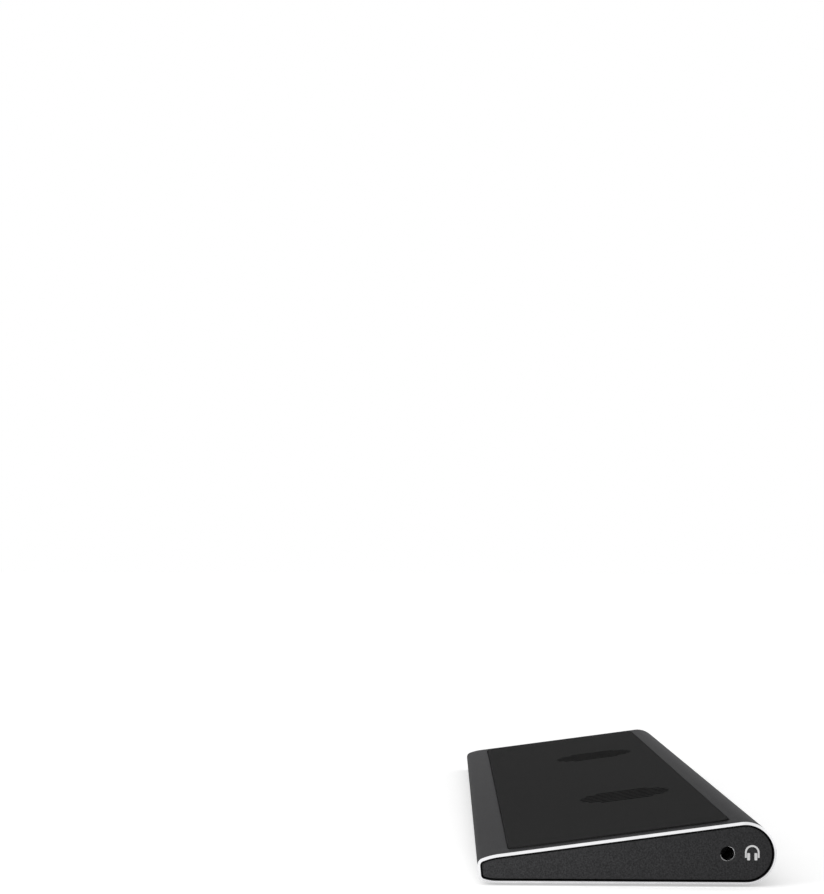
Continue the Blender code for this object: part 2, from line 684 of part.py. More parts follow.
def build_button():
    """The fan button with its switch, and the status light with its light pipe."""
    height = above_base(BUTTON_HEIGHT)
    cap = pill(BUTTON_Y, height, *BUTTON_SIZE)
    flange = pill(BUTTON_Y, height, *BUTTON_FLANGE)
    stem = pill(BUTTON_Y, height, *BUTTON_STEM)
    stem_end = BOARD_START - BUTTON_TRAVEL
    stations = ((cap, BUTTON_FRONT), (cap, FRAME_FRONT), (flange, FRAME_FRONT),
                (flange, BUTTON_FLANGE_BACK), (stem, BUTTON_FLANGE_BACK), (stem, stem_end))
    rings = [(outline, end_x(-1, depth) - end_x(-1, FRAME_FRONT)) for outline, depth in stations]
    button = make("fan_button", lambda bm: add_rings(bm, rings, ALONG_X),
                  material("button_plastic", (0.03, 0.03, 0.031), 0.45))
    button.location.x = end_x(-1, FRAME_FRONT)
    board_top = above_base(MAIN_BOARD_HEIGHT + BOARD_THICKNESS + GAP)
    front = BOARD_START + GAP
    switch = rectangle(BUTTON_Y, board_top + SWITCH_SIZE[1] / 2, *SWITCH_SIZE)
    make("button_switch", lambda bm: add_along_end(bm, -1, switch, (front, front + SWITCH_LENGTH)),
         material("switch_black", (0.02, 0.02, 0.02), 0.5))
    pipe = circle(LIGHT_Y, height, LIGHT_RADIUS, 12)
    make("status_light_pipe", lambda bm: add_along_end(bm, -1, pipe, (PLATE_FRONT, BOARD_START)),
         material("light_pipe_clear", (0.85, 0.87, 0.9), 0.25))
    light = rectangle(LIGHT_Y, board_top + LIGHT_SIZE / 2, LIGHT_SIZE, LIGHT_SIZE)
    make("status_light", lambda bm: add_along_end(bm, -1, light, (front, front + LIGHT_LENGTH)),
         material("status_light_white", (0.8, 0.8, 0.75), 0.4))


def build_fan(side):
    """One slim blower, hung under the sloping top by a foam gasket."""
    axis = fan_frame(side)
    plastic = material(f"fan_plastic_{side}", (0.018, 0.018, 0.018), 0.55)
    steel = material(f"fan_steel_{side}", (0.4, 0.4, 0.41), 0.35, 1.0)
    square = rectangle(0, 0, FAN_SIZE, FAN_SIZE, FAN_CORNER)

    def scroll(bm):
        start = math.acos(OUTLET_LEFT / SCROLL_RADIUS)
        steps = 24
        turns = [start + (2 * math.pi - start) * i / steps for i in range(steps + 1)]
        outline = [(SCROLL_RADIUS, FAN_SIZE / 2 + PAST), (OUTLET_LEFT, FAN_SIZE / 2 + PAST)]
        outline += [(SCROLL_RADIUS * math.cos(t), SCROLL_RADIUS * math.sin(t)) for t in turns]
        add_prism(bm, outline, HOUSING_FLOOR, HOUSING_TOP + PAST)

    def boss(bm):
        outer, inner = circle(0, 0, BOSS_RADII[1], 16), circle(0, 0, BOSS_RADII[0], 16)
        add_tube(bm, outer, inner, BOSS_ROOT, BOSS_TOP)

    def screw_holes(bm):
        for x, y in FAN_SCREW_PLACES.values():
            add_prism(bm, circle(x, y, FAN_PILOT_RADIUS, 10), FAN_PILOT_BOTTOM, COVER_TOP + PAST)

    housing = make(f"fan_{side}_housing",
                   lambda bm: add_prism(bm, square, HOUSING_BOTTOM, HOUSING_TOP), plastic, axis)
    cut(housing, f"fan_{side}_scroll", scroll)
    join(housing, f"fan_{side}_boss", boss)
    cut(housing, f"fan_{side}_housing_holes", screw_holes)

    cover = make(f"fan_{side}_cover",
                 lambda bm: add_prism(bm, square, COVER_BOTTOM, COVER_TOP), plastic, axis)
    intake = circle(0, 0, COVER_HOLE_RADIUS, 32)
    cut(cover, f"fan_{side}_cover_intake",
        lambda bm: add_prism(bm, intake, COVER_BOTTOM - PAST, COVER_TOP + PAST))
    cut(cover, f"fan_{side}_cover_holes", screw_holes)

    gasket = [circle(0, 0, radius, 32) for radius in GASKET_RADII]
    make(f"fan_{side}_gasket", lambda bm: add_tube(bm, gasket[1], gasket[0], GASKET_BOTTOM, GASKET_TOP),
         material(f"fan_foam_{side}", (0.03, 0.03, 0.03), 0.9), axis)
    bush = [circle(0, 0, radius, 12) for radius in BUSH_RADII]
    make(f"fan_{side}_bush",
         lambda bm: add_tube(bm, bush[1], bush[0], HOUSING_FLOOR + GAP, BOSS_TOP),
         material(f"bush_brass_{side}", (0.6, 0.42, 0.16), 0.35, 1.0), axis)
    stator = [circle(0, 0, radius, 20) for radius in STATOR_RADII]
    make(f"fan_{side}_stator",
         lambda bm: add_tube(bm, stator[1], stator[0], HOUSING_FLOOR + GAP, BOSS_TOP),
         material(f"stator_copper_{side}", (0.55, 0.25, 0.1), 0.4, 1.0), axis)
    shaft = circle(0, 0, SHAFT_RADIUS, 12)
    make(f"fan_{side}_shaft", lambda bm: add_prism(bm, shaft, HOUSING_FLOOR + GAP, HUB_CAP[1]), steel, axis)
    build_impeller(side, axis, plastic)
    for place, (x, y) in FAN_SCREW_PLACES.items():
        frame = Matrix.Translation((x, y, 0))
        heads = (FAN_SCREW_HEAD_TOP, COVER_TOP + GAP)
        make(f"fan_{side}_screw_{place}",
             lambda bm: add_screw(bm, *FAN_SCREW_RADII, heads, FAN_SCREW_TIP, frame), steel, axis)


def build_impeller(side, axis, plastic):
    """A blower's impeller: a cup-shaped hub with swept blades."""
    outer, inner = [circle(0, 0, radius, 30) for radius in reversed(HUB_RADII)]
    hole = circle(0, 0, SHAFT_RADIUS + GAP, 30)

    def hub(bm):
        rings = [(outer, HUB_BOTTOM), (outer, HUB_CAP[1]), (hole, HUB_CAP[1]),
                 (hole, HUB_CAP[0]), (inner, HUB_CAP[0]), (inner, HUB_BOTTOM)]
        add_rings(bm, rings, closed=True)

    def blades(bm):
        root_radius = sum(HUB_RADII) / 2
        stations = [root_radius + (BLADE_TIP_RADIUS - root_radius) * i / 3 for i in range(4)]
        for blade in range(BLADE_COUNT):
            start = 2 * math.pi * blade / BLADE_COUNT
            faces = {1: [], -1: []}
            for radius in stations:
                share = (radius - root_radius) / (BLADE_TIP_RADIUS - root_radius)
                for hand, points in faces.items():
                    turn = start + BLADE_SWEEP * share + hand * BLADE_THICKNESS / 2 / radius
                    points.append((radius * math.cos(turn), radius * math.sin(turn)))
            add_prism(bm, faces[-1] + faces[1][::-1], *BLADE_HEIGHTS)

    impeller = make(f"fan_{side}_impeller", hub, plastic, axis)
    join(impeller, f"fan_{side}_blades", blades)


def build_ribbon():
    """The ribbon cable along the nose of the bar, from the main board to the audio board."""
    white = material("connector_white", (0.75, 0.74, 0.7), 0.5)
    left_height = above_base(MAIN_BOARD_HEIGHT + BOARD_THICKNESS + GAP)
    right_height = above_base(AUDIO_BOARD_HEIGHT + BOARD_THICKNESS + GAP)
    path = ((RIBBON_LEFT_END, left_height), (RIBBON_RISE[0], left_height),
            (RIBBON_RISE[1], right_height), (RIBBON_RIGHT_END, right_height))
    outline = [Vector(point) for point in path]
    outline += [Vector((x, z + RIBBON_THICKNESS)) for x, z in reversed(path)]
    make("ribbon_cable", lambda bm: add_prism(bm, outline, *RIBBON_Y, ALONG_Y),
         material("ribbon_grey", (0.45, 0.45, 0.46), 0.5))
    for name, end, direction, low in (("ribbon_connector_left", RIBBON_LEFT_END, -1, left_height),
                                      ("ribbon_connector_right", RIBBON_RIGHT_END, 1, right_height)):
        x_range = (end + direction * GAP, end + direction * CONNECTOR_LENGTH)
        make(name, lambda bm: add_box(bm, x_range, RIBBON_Y, (low, low + CONNECTOR_HEIGHT)), white)


def build_fan_lead(side, route, plug_center):
    """A blower's lead, from its housing to the plug on the nearest board."""
    make(f"fan_{side}_plug",
         lambda bm: add_box(bm, *[(c - s / 2, c + s / 2) for c, s in zip(plug_center, PLUG_SIZE)]),
         material(f"plug_white_{side}", (0.75, 0.74, 0.7), 0.5))
    name = f"fan_{side}_lead"
    curve = bpy.data.curves.new(name, "CURVE")
    curve.dimensions = "3D"
    curve.bevel_depth = LEAD_RADIUS
    curve.bevel_resolution = 2
    curve.use_fill_caps = True
    points = smooth_route(route)
    spline = curve.splines.new("POLY")
    spline.points.add(len(points) - 1)
    for slot, point in zip(spline.points, points):
        slot.co = (*point, 1)
    curve.materials.append(material(f"lead_black_{side}", (0.02, 0.02, 0.02), 0.55))
    lead = bpy.data.objects.new(name, curve)
    bpy.context.scene.collection.objects.link(lead)


def smooth_route(route):
    """Points along a smooth curve through a route's own points."""
    points = [Vector(point) for point in route]
    padded = [2 * points[0] - points[1], *points, 2 * points[-1] - points[-2]]
    smooth = []
    steps = 4
    for before, start, end, after in zip(padded, padded[1:], padded[2:], padded[3:]):
        for i in range(steps):
            t = i / steps
            smooth.append(0.5 * (2 * start + (end - before) * t
                                 + (2 * before - 5 * start + 4 * end - after) * t * t
                                 + (3 * start - before - 3 * end + after) * t ** 3))
    return smooth + [points[-1]]


def build_wiring():
    """The ribbon cable, and one lead from each blower to the board beside it."""
    build_ribbon()
    for side, sign, board_height in (("left", -1, MAIN_BOARD_HEIGHT), ("right", 1, AUDIO_BOARD_HEIGHT)):
        board_top = above_base(board_height + BOARD_THICKNESS + GAP)
        plug_center = Vector((PLUG_X[side], PLUG_Y, board_top + PLUG_SIZE[2] / 2))
        fan_edge = FAN_X[side] + sign * (FAN_SIZE / 2 + GAP)
        fan_point = Vector((fan_edge, LEAD_FAN_Y, top_height(LEAD_FAN_Y) - LEAD_FAN_DROP))
        outward = Vector((sign, 0, 0))
        plug_point = plug_center - outward * (PLUG_SIZE[0] / 2 + GAP)
        route = (fan_point, fan_point + outward * LEAD_STRAIGHT, (fan_point + plug_point) / 2,
                 plug_point - outward * LEAD_STRAIGHT, plug_point)
        build_fan_lead(side, route, plug_center)


REAR_AXIS_Y = DEPTH / 2 - REAR_RADIUS

for thing in list(bpy.data.objects):
    bpy.data.objects.remove(thing)
build_sleeve()
build_top_pad()
build_feet()
build_end_plates()
build_end_frames()
build_end_screws()
build_boards()
build_audio_jack()
build_hub_sockets()
build_button()
for fan_side in FAN_X:
    build_fan(fan_side)
build_wiring()
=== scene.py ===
"""Looks of the laptop cooling riser: finer shells, finishes, marks, light and camera."""
import json
import math

import bmesh
import bpy
from mathutils import Matrix, Vector


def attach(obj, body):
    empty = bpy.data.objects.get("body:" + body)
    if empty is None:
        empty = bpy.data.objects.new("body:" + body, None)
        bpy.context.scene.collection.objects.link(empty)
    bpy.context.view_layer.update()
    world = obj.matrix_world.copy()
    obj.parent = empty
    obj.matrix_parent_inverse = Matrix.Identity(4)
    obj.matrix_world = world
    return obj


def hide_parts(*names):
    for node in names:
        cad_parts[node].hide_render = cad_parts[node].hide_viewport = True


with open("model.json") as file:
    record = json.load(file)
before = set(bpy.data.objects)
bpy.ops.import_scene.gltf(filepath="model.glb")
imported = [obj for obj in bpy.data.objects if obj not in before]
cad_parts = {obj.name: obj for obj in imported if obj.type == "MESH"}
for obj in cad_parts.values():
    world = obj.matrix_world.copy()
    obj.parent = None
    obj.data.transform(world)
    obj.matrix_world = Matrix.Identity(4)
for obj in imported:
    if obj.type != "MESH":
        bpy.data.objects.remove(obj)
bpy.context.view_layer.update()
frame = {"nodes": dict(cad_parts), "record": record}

MM = 0.001

# Sleeve and wedge, as in the solids
WIDTH = 330 * MM
DEPTH = 79 * MM
WEDGE_ANGLE = math.radians(7.75)
REAR_RADIUS = 8.2 * MM
REAR_AXIS_Y = DEPTH / 2 - REAR_RADIUS
FOOT_DROP = 0.6 * MM
GAP = 0.3 * MM
PAST = 1 * MM  # how far a cutting shape runs past the face that it cuts
NOSE_LENGTH = 3.6 * MM
NOSE_TOP_ANGLE = math.radians(20.8)
NOSE_BOTTOM_ANGLE = math.radians(15.5)
NOSE_LEAN = math.radians(5.4)
NOSE_TOP_BLEND = 20 * MM
NOSE_BOTTOM_BLEND = 12 * MM
NOSE_CORNER_RADIUS = 1.9 * MM
WALL = 1.6 * MM
CHAMFER = 0.7 * MM
END_LAND = 0.8 * MM
SEAT_DEPTH = 4.7 * MM
PORT_RADIUS = 2.1 * MM
PORT_HOLE_RADIUS = 1.1 * MM
PORT_HOLE_DEPTH = 13 * MM
PORTS = ((-33.3 * MM, 3.5 * MM), (33.2 * MM, 3.9 * MM))
VENT_COUNT = 9
VENT_PITCH = 5 * MM
VENT_WIDTH = 3 * MM
VENT_LOW = 6.8 * MM
VENT_HIGH = 12.8 * MM
VENT_REACH = 6 * MM
FAN_X = (-70 * MM, 70 * MM)
FAN_Y = 7 * MM
INTAKE_RADIUS = 15 * MM

# Top pad and feet
PAD_LENGTH = 316 * MM
PAD_FRONT = -31 * MM
PAD_REAR = 28 * MM
PAD_CORNER = 3 * MM
PAD_RECESS = 0.7 * MM
PAD_PROUD = 0.4 * MM
PAD_EDGE = 0.25 * MM
SLIT_FIELD_RADIUS = 14 * MM
SLIT_WIDTH = 2.2 * MM
SLIT_PITCH = 3.8 * MM
SLITS_EACH_SIDE = 3
FOOT_SIZE = (250 * MM, 8 * MM)
FOOT_RECESS = 0.5 * MM
FOOT_EDGE = 0.25 * MM
FEET = {"front_foot": -26 * MM, "rear_foot": 22 * MM}

# Ends: depths are measured inward from the sleeve's end plane
PLATE_FRONT = 0.5 * MM
PLATE_BACK = 1.7 * MM
PLATE_EDGE = 0.12 * MM
PLATE_JOINT = 0.12 * MM  # added to the gap round a plate, so that the dark joint shows
PLATE_MARGIN = END_LAND + GAP + PLATE_JOINT
JACK_Y = 26.6 * MM
JACK_HEIGHT = 8.0 * MM
JACK_PLATE_RADIUS = 2.0 * MM
JACK_BORE_RADIUS = 1.77 * MM
JACK_LIP_RADIUS = 2.4 * MM
JACK_LIP_FRONT = 1.75 * MM
JACK_MOUTH_FLARE = 0.08 * MM
JACK_MOUTH_DEPTH = 0.1 * MM
JACK_FERRULE_BACK = 4.9 * MM
BOARD_TOP = 4.1 * MM
USB_A_SIZE = (13.1 * MM, 5.7 * MM)
USB_A_CORNER = 0.6 * MM
USB_A_Y = {"front": 4.5 * MM, "rear": 20.5 * MM}
USB_C_SIZE = (8.94 * MM, 3.2 * MM)
USB_C_Y = -11 * MM
BUTTON_Y = -24 * MM
BUTTON_HEIGHT = 5.3 * MM
BUTTON_SIZE = (7.0 * MM, 2.6 * MM)
BUTTON_FLANGE = (8.8 * MM, 4.2 * MM)
BUTTON_STATIONS = (0.1 * MM, 2.0 * MM, 2.6 * MM)  # depths of its front, and of its flange's two faces
BUTTON_EDGE = 0.35 * MM
BUTTON_STEM = (3 * MM, 1.6 * MM)
BUTTON_STEM_END = 4.6 * MM
LIGHT_Y = -18 * MM
LIGHT_RADIUS = 0.8 * MM

# Contacts: width and thickness, and the depths where they start and end
USB_A_CONTACTS = (-3.5 * MM, -1.0 * MM, 1.0 * MM, 3.5 * MM)
USB_A_CONTACT_HEIGHT = 2.75 * MM
USB_A_CONTACT = (1.0 * MM, 0.12 * MM)
USB_A_CONTACT_CORNER = 0.04 * MM
USB_A_CONTACT_DEPTHS = (2.4 * MM, 9.5 * MM)
USB_C_CONTACT_COUNT = 12
USB_C_CONTACT_PITCH = 0.44 * MM
USB_C_CONTACT = (0.25 * MM, 0.06 * MM)
USB_C_CONTACT_CORNER = 0.02 * MM
USB_C_CONTACT_DEPTHS = (2.1 * MM, 6.8 * MM)
USB_C_TONGUE_HALF = 0.35 * MM

# Printed marks
MARK_PROUD = 0.02 * MM
HEADSET_MARK_Y = 33.0 * MM
HEADSET_MARK_HEIGHT = 8.45 * MM
HEADSET_BAND_RADIUS = 1.92 * MM
HEADSET_STROKE = 0.48 * MM
HEADSET_LEG = 1.4 * MM
HEADSET_PAD = (0.58 * MM, 1.34 * MM)  # from the middle of the mark to a pad's inner and outer side
HEADSET_PAD_HEIGHTS = (-2.05 * MM, -0.15 * MM)
HEADSET_PAD_CORNER = 0.2 * MM
FAN_MARK_HUB = 0.2 * MM
FAN_MARK_BLADES = 3
FAN_MARK_BLADE = (0.62 * MM, 0.38 * MM)
FAN_MARK_SET = 0.52 * MM
FAN_MARK_SWEEP = 0.12 * MM

# Finishes
FIELD_RANGE = (0.3, 0.7)  # the part of a noise field that is spread over a finish's range
BROAD_GRAIN = 25  # how much wider the patches of a finish are than its grain
BROAD_DETAIL = 2.0
FINE_DETAIL = 3.0
GRAIN_HEIGHT = 0.05 * MM
ROUGHNESS_SPREAD = 0.06
FLAT_FACE_WEIGHT = 100
SMOOTH_ANGLE = 30
SLEEVE_SMOOTH_ANGLE = 20
BOARD_ROUGHNESS = (0.38, 0.5)
BOARD_GRAIN = 0.3 * MM
BOARD_RELIEF = 0.2
BOARD_RUN_HEIGHT = 0.03 * MM
BOARD_BRICKS = {
    "Scale": 160,
    "Mortar Size": 0.06,
    "Color1": (0.012, 0.060, 0.026, 1),
    "Color2": (0.015, 0.070, 0.030, 1),
    "Mortar": (0.035, 0.130, 0.055, 1),
}

# Stage: the surroundings and the floor look white, and give less light than they look
WORLD_LIGHT = 0.55
WORLD_LOOK = 1.0
FLOOR_HEIGHT = -0.02 * MM
FLOOR_HALF = 30.0
FLOOR_GRAIN = 20 * MM
FLOOR_COLORS = ((0.80, 0.80, 0.80), (0.82, 0.82, 0.82))
FLOOR_ROUGHNESS = (0.88, 0.92)
FLOOR_GLOW = 0.46

# Camera: the photograph's size, the pixel where lines along the bar meet, and the fitted place
IMAGE_SIZE = (824, 894)
VANISHING_POINT = (449, 568)
FOCAL_PIXELS = 2170
SENSOR = 36  # along the image's longer side
CAMERA_DISTANCE = 577.7 * MM
CAMERA_Y = -47.17 * MM
CAMERA_HEIGHT = 83.57 * MM
CAMERA_ROLL = math.radians(0.2)
CAMERA_CLIP = (0.01, 100)

# Arcs and frames
FINE_STEP = math.radians(3)
SMALL_STEP = math.radians(10)
STEP_SLACK = 0.01
LEAST_STEPS = 2
ROLL_STEPS = 4
PLATE_ROLL_STEPS = 3
ARCH_STEPS = 24
CIRCLE_SIDES = 48
SMALL_CIRCLE_SIDES = 24
TINY_CIRCLE_SIDES = 16
SAME_POINT = 0.001 * MM
LEAST_RADIUS = 0.2 * MM
ALONG_X = Matrix(((0, 0, 1, 0), (1, 0, 0, 0), (0, 1, 0, 0), (0, 0, 0, 1)))
ALONG_Y = Matrix(((1, 0, 0, 0), (0, 0, 1, 0), (0, 1, 0, 0), (0, 0, 0, 1)))
ALONG_Z = Matrix.Identity(4)


# Outlines
def turned_corner(before, corner, after, radius, step):
    """Replace a corner with an arc."""
    come = (corner - before).normalized()
    leave = (after - corner).normalized()
    turn = come.angle_signed(leave) * -1
    steps = max(LEAST_STEPS, math.ceil(abs(turn) / step - STEP_SLACK))
    start = corner - come * radius * math.tan(abs(turn) / 2)
    center = start + Vector((-come.y, come.x)) * radius * math.copysign(1, turn)
    spoke = start - center
    return [center + Matrix.Rotation(turn * i / steps, 2) @ spoke for i in range(steps + 1)]


def rounded(corners, step):
    """Make an outline from corners given as (x, y, radius)."""
    points = [Vector(corner[:2]) for corner in corners]
    outline = []
    for i, corner in enumerate(corners):
        after = points[(i + 1) % len(points)]
        outline += turned_corner(points[i - 1], points[i], after, corner[2], step)
    return [p for i, p in enumerate(outline) if (p - outline[i - 1]).length > SAME_POINT]


def inset(corners, distance):
    """Move every side of a convex corner list inward, and reduce its radii."""
    moved = []
    for i, (x, y, radius) in enumerate(corners):
        here = Vector((x, y))
        come = (here - Vector(corners[i - 1][:2])).normalized()
        leave = (Vector(corners[(i + 1) % len(corners)][:2]) - here).normalized()
        point = here + (leave - come).normalized() * (distance / math.cos(come.angle(leave) / 2))
        moved.append((point.x, point.y, max(radius - distance, LEAST_RADIUS)))
    return moved


def rectangle(center_x, center_y, width, height, radius):
    """Make the outline of a rectangle with round corners."""
    low_x, high_x = center_x - width / 2, center_x + width / 2
    low_y, high_y = center_y - height / 2, center_y + height / 2
    corners = ((low_x, low_y), (high_x, low_y), (high_x, high_y), (low_x, high_y))
    return rounded([(x, y, radius) for x, y in corners], SMALL_STEP)


def pill(center_x, center_y, width, height):
    """Make the outline of a bar with round ends."""
    return rectangle(center_x, center_y, width, height, min(width, height) / 2)


def circle(center_x, center_y, radius, sides=CIRCLE_SIDES):
    """Make a round outline."""
    turns = [2 * math.pi * i / sides for i in range(sides)]
    return [Vector((center_x + radius * math.cos(t), center_y + radius * math.sin(t))) for t in turns]


def grown(size, margin):
    """A width and a height, larger by a margin on every side."""
    return [length + 2 * margin for length in size]


def quarter_round(edge, steps):
    """The inset and the drop at each step of a rolled edge, from its side to its face."""
    turns = [math.pi / 2 * i / steps for i in range(steps + 1)]
    return [(edge * (1 - math.cos(turn)), edge * (1 - math.sin(turn))) for turn in turns]


def top_height(y):
    """Height of the sloping top plane."""
    from_axis = REAR_AXIS_Y - y
    return FOOT_DROP + REAR_RADIUS * (1 + 1 / math.cos(WEDGE_ANGLE)) - from_axis * math.tan(WEDGE_ANGLE)


def top_frame(x, y):
    """A frame in the sloping top plane."""
    return Matrix.Translation((x, y, top_height(y))) @ Matrix.Rotation(WEDGE_ANGLE, 4, "X")


def wedge_outline(distance):
    """The sleeve's outline in Y and Z, moved inward by a distance."""
    rear_y, nose_y = DEPTH / 2, -DEPTH / 2
    bend_y = nose_y + NOSE_LENGTH
    front_height = top_height(bend_y) - NOSE_LENGTH * math.tan(NOSE_TOP_ANGLE)
    lean, rise = math.tan(NOSE_LEAN), math.tan(NOSE_BOTTOM_ANGLE)
    lower_run = (NOSE_LENGTH - lean * (front_height - FOOT_DROP)) / (1 - lean * rise)
    corners = [
        (rear_y, FOOT_DROP, REAR_RADIUS),
        (rear_y, top_height(rear_y), REAR_RADIUS),
        (bend_y, top_height(bend_y), NOSE_TOP_BLEND),
        (nose_y, front_height, NOSE_CORNER_RADIUS),
        (bend_y - lower_run, FOOT_DROP + lower_run * rise, NOSE_CORNER_RADIUS),
        (bend_y, FOOT_DROP, NOSE_BOTTOM_BLEND),
    ]
    return rounded(inset(corners, distance), FINE_STEP)


def above_base(height):
    """World height of a place measured up from the sleeve's underside."""
    return FOOT_DROP + height


def end_x(side, depth):
    """World X of a depth inward from an end plane: side 1 is the audio end, -1 the hub end."""
    return side * (WIDTH / 2 - depth)


# Meshes
def add_rings(bm, rings, frame_matrix=ALONG_Z, closed=False, finishes=None):
    """Add a lofted body through (outline, height) rings; finishes gives each band's material index."""
    loops = []
    for outline, height in rings:
        loops.append([bm.verts.new(frame_matrix @ Vector((p[0], p[1], height))) for p in outline])
    pairs = list(zip(loops, loops[1:]))
    if closed:
        pairs.append((loops[-1], loops[0]))
    else:
        bm.faces.new(loops[0])
        bm.faces.new(loops[-1])
    for band, (first, second) in enumerate(pairs):
        for i in range(len(first)):
            j = (i + 1) % len(first)
            face = bm.faces.new((first[i], first[j], second[j], second[i]))
            face.material_index = finishes[band] if finishes else 0


def add_prism(bm, outline, low, high, frame_matrix=ALONG_Z):
    """Add a straight prism of an outline."""
    add_rings(bm, [(outline, low), (outline, high)], frame_matrix)


def mesh_object(name, build, finishes=()):
    """Make an object from a function that fills a mesh."""
    bm = bmesh.new()
    build(bm)
    bmesh.ops.recalc_face_normals(bm, faces=bm.faces)
    mesh = bpy.data.meshes.new(name)
    bm.to_mesh(mesh)
    bm.free()
    made = bpy.data.objects.new(name, mesh)
    bpy.context.scene.collection.objects.link(made)
    for finish in finishes:
        mesh.materials.append(finish)
    return made


def apply_boolean(target, build, operation):
    """Cut a shape out of an object, or join it on, and keep the result as the object's mesh."""
    tool = mesh_object("tool", build)
    modifier = target.modifiers.new("tool", "BOOLEAN")
    modifier.operation = operation
    modifier.solver = "EXACT"
    modifier.object = tool
    graph = bpy.context.evaluated_depsgraph_get()
    result = bpy.data.meshes.new_from_object(target.evaluated_get(graph))
    target.modifiers.clear()
    target.data = result
    bpy.data.objects.remove(tool)


def smooth(target, angle=SMOOTH_ANGLE):
    """Shade a piece smooth up to an angle, with its flat faces kept flat."""
    target.data.shade_smooth()
    target.data.set_sharp_from_angle(angle=math.radians(angle))
    modifier = target.modifiers.new("normals", "WEIGHTED_NORMAL")
    modifier.weight = FLAT_FACE_WEIGHT
    modifier.keep_sharp = True


def place(piece, body, slot, *nodes):
    """Let a piece ride on a body and stand for the nodes that it replaces; the slot is not used."""
    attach(piece, body)
    if nodes:
        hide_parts(*nodes)


# Finishes
def shader(name, roughness, metallic=0.0, specular=0.5, tint=1.0):
    """Make a node material; return it with its tree and shader. Tint dims a metal's edge-on shine."""
    made = bpy.data.materials.new(name)
    made.use_nodes = True
    principled = made.node_tree.nodes["Principled BSDF"]
    principled.inputs["Roughness"].default_value = roughness
    principled.inputs["Metallic"].default_value = metallic
    principled.inputs["Specular IOR Level"].default_value = specular
    principled.inputs["Specular Tint"].default_value = (tint, tint, tint, 1)
    return made, made.node_tree, principled


def noise(tree, grain, detail=FINE_DETAIL, stretch=(1, 1, 1)):
    """A noise field in object space whose features are about as wide as the grain."""
    coordinates = tree.nodes.new("ShaderNodeTexCoord")
    mapping = tree.nodes.new("ShaderNodeMapping")
    mapping.inputs["Scale"].default_value = stretch
    texture = tree.nodes.new("ShaderNodeTexNoise")
    texture.inputs["Scale"].default_value = 1 / grain
    texture.inputs["Detail"].default_value = detail
    tree.links.new(coordinates.outputs["Object"], mapping.inputs["Vector"])
    tree.links.new(mapping.outputs["Vector"], texture.inputs["Vector"])
    return texture.outputs["Fac"]


def vary_color(tree, principled, field, low, high):
    """Run the base colour between two colours along a field."""
    ramp = tree.nodes.new("ShaderNodeValToRGB")
    for stop, position, color in zip(ramp.color_ramp.elements, FIELD_RANGE, (low, high)):
        stop.position = position
        stop.color = (*color, 1)
    tree.links.new(field, ramp.inputs["Fac"])
    tree.links.new(ramp.outputs["Color"], principled.inputs["Base Color"])


def vary_roughness(tree, principled, field, low, high):
    """Run the roughness between two values along a field."""
    spread = tree.nodes.new("ShaderNodeMapRange")
    spread.inputs["From Min"].default_value, spread.inputs["From Max"].default_value = FIELD_RANGE
    spread.inputs["To Min"].default_value = low
    spread.inputs["To Max"].default_value = high
    tree.links.new(field, spread.inputs["Value"])
    tree.links.new(spread.outputs["Result"], principled.inputs["Roughness"])


def raise_grain(tree, principled, field, strength, height):
    """Raise a field as fine relief."""
    bump = tree.nodes.new("ShaderNodeBump")
    bump.inputs["Strength"].default_value = strength
    bump.inputs["Distance"].default_value = height
    tree.links.new(field, bump.inputs["Height"])
    tree.links.new(bump.outputs["Normal"], principled.inputs["Normal"])


def grained(name, color, roughness, metallic=0.0, specular=0.5, grain=0.4 * MM, spread=0.12,
            relief=0.15, stretch=(1, 1, 1), tint=1.0, speckled=False):
    """A finish with fine relief, whose colour and roughness vary; a speckled one varies by the grain."""
    made, tree, principled = shader(name, roughness, metallic, specular, tint)
    broad = noise(tree, grain * BROAD_GRAIN, BROAD_DETAIL)
    fine = noise(tree, grain, FINE_DETAIL, stretch)
    darker, paler = [[c * (1 + change) for c in color] for change in (-spread, spread)]
    vary_color(tree, principled, fine if speckled else broad, darker, paler)
    rougher = min(1.0, roughness + ROUGHNESS_SPREAD)
    vary_roughness(tree, principled, fine, roughness - ROUGHNESS_SPREAD, rougher)
    raise_grain(tree, principled, fine, relief, GRAIN_HEIGHT)
    return made


def board_finish():
    """Green solder mask with paler copper runs under it."""
    made, tree, principled = shader("board_mask", BOARD_ROUGHNESS[1])
    coordinates = tree.nodes.new("ShaderNodeTexCoord")
    bricks = tree.nodes.new("ShaderNodeTexBrick")
    for socket, value in BOARD_BRICKS.items():
        bricks.inputs[socket].default_value = value
    tree.links.new(coordinates.outputs["Object"], bricks.inputs["Vector"])
    tree.links.new(bricks.outputs["Color"], principled.inputs["Base Color"])
    vary_roughness(tree, principled, noise(tree, BOARD_GRAIN), *BOARD_ROUGHNESS)
    raise_grain(tree, principled, bricks.outputs["Fac"], BOARD_RELIEF, BOARD_RUN_HEIGHT)
    return made


